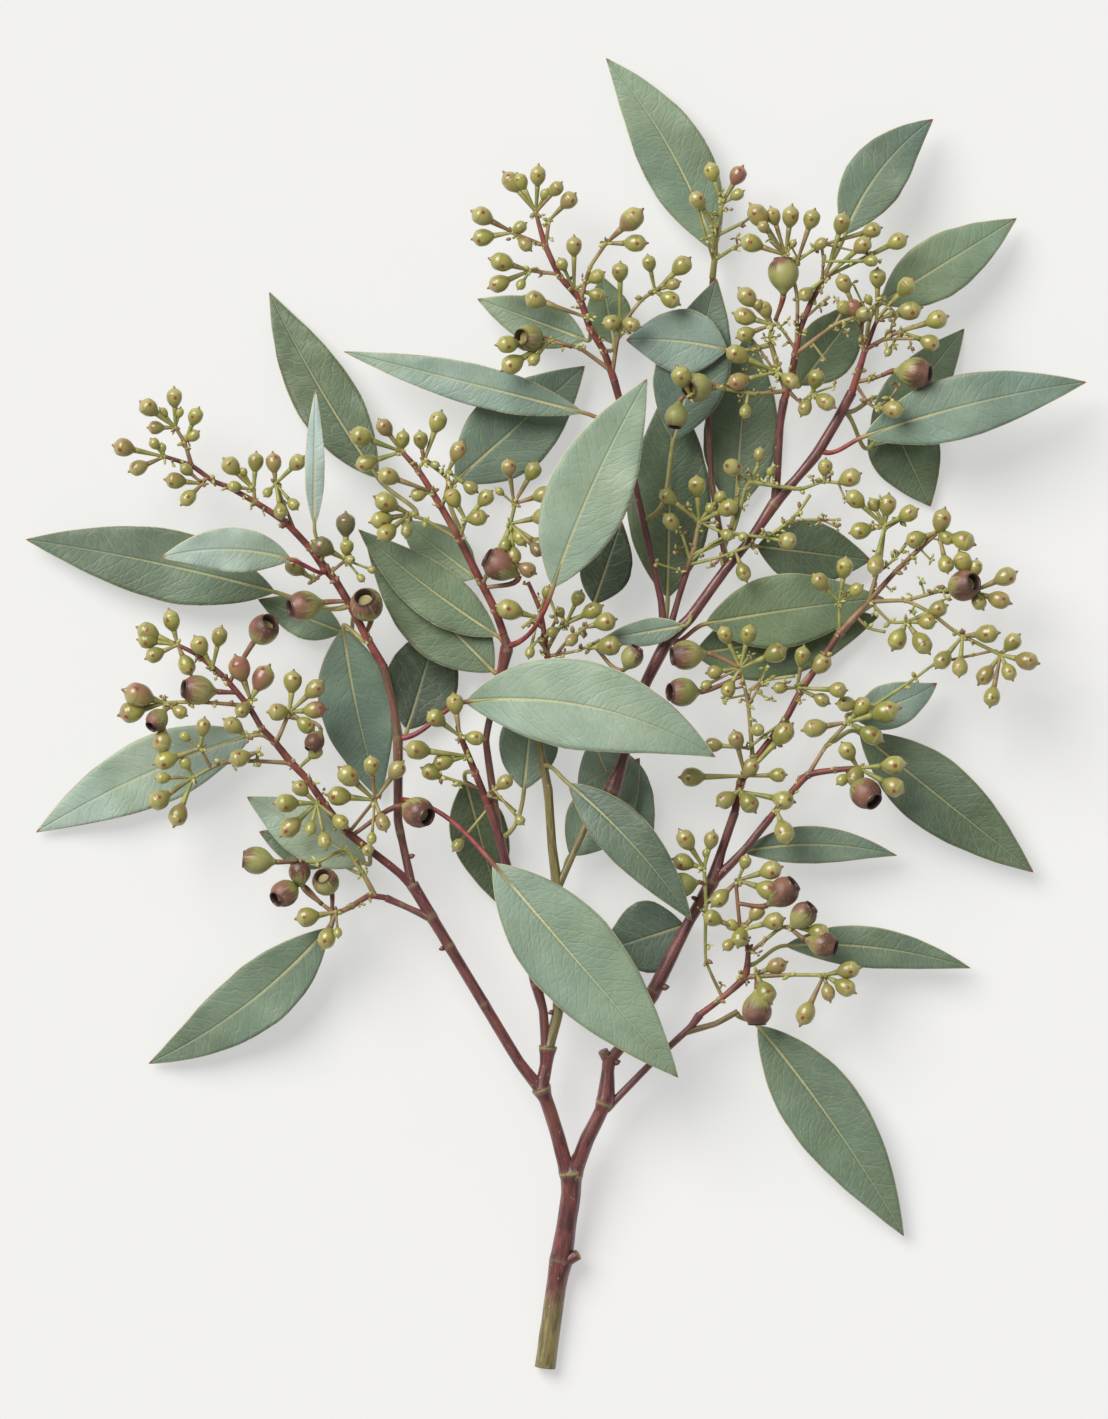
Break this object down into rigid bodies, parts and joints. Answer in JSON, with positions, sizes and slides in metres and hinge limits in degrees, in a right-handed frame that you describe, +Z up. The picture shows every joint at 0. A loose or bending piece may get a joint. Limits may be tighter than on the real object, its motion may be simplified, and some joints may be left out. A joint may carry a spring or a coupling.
{
  "type": "eucalyptus gum nut sprig",
  "caption": "Cut woody sprig lying flat, with lance-shaped blue-green leaves and branching sprays of stalked pointed buds and open urn-shaped seed capsules.",
  "frame": {"origin": "centre of the sprig's plan rectangle, on the surface it lies on", "axes": "+Z up off the surface, +Y from the cut end to the top of the sprig, +X to the right seen from above"},
  "size_m": [0.3616, 0.4475, 0.0464],
  "materials": {
    "bark": "smooth red-brown young bark, satin",
    "foliage": "waxy blue-green leaf skin, satin",
    "fruit": "yellow-green buds and woody capsules, satin"
  },
  "bodies": {
    "root": {"stem": "bark", "spray_a": "fruit", "spray_b": "fruit", "spray_c": "fruit", "spray_d": "fruit", "spray_e": "fruit", "spray_f": "fruit", "spray_g": "fruit", "spray_h": "fruit", "spray_j": "fruit", "spray_k": "fruit", "spray_l": "fruit", "spray_m": "fruit", "spray_n": "fruit", "spray_q": "fruit", "leaf_01": "foliage", "leaf_02": "foliage", "leaf_03": "foliage", "leaf_04": "foliage", "leaf_05": "foliage", "leaf_06": "foliage", "leaf_07": "foliage", "leaf_08": "foliage", "leaf_09": "foliage", "leaf_10": "foliage", "leaf_11": "foliage", "leaf_12": "foliage", "leaf_13": "foliage", "leaf_14": "foliage", "leaf_15": "foliage", "leaf_16": "foliage", "leaf_17": "foliage", "leaf_18": "foliage", "leaf_19": "foliage", "leaf_20": "foliage", "leaf_21": "foliage", "leaf_22": "foliage", "leaf_23": "foliage", "leaf_24": "foliage", "leaf_25": "foliage", "leaf_26": "foliage", "leaf_27": "foliage", "leaf_28": "foliage", "leaf_29": "foliage", "leaf_30": "foliage", "leaf_31": "foliage", "leaf_32": "foliage", "leaf_33": "foliage", "leaf_34": "foliage", "leaf_35": "foliage", "leaf_36": "foliage", "leaf_37": "foliage", "leaf_38": "foliage", "leaf_39": "foliage", "leaf_40": "foliage", "leaf_41": "foliage", "leaf_42": "foliage", "leaf_43": "foliage", "leaf_44": "foliage", "leaf_45": "foliage"}
  },
  "joints": []
}
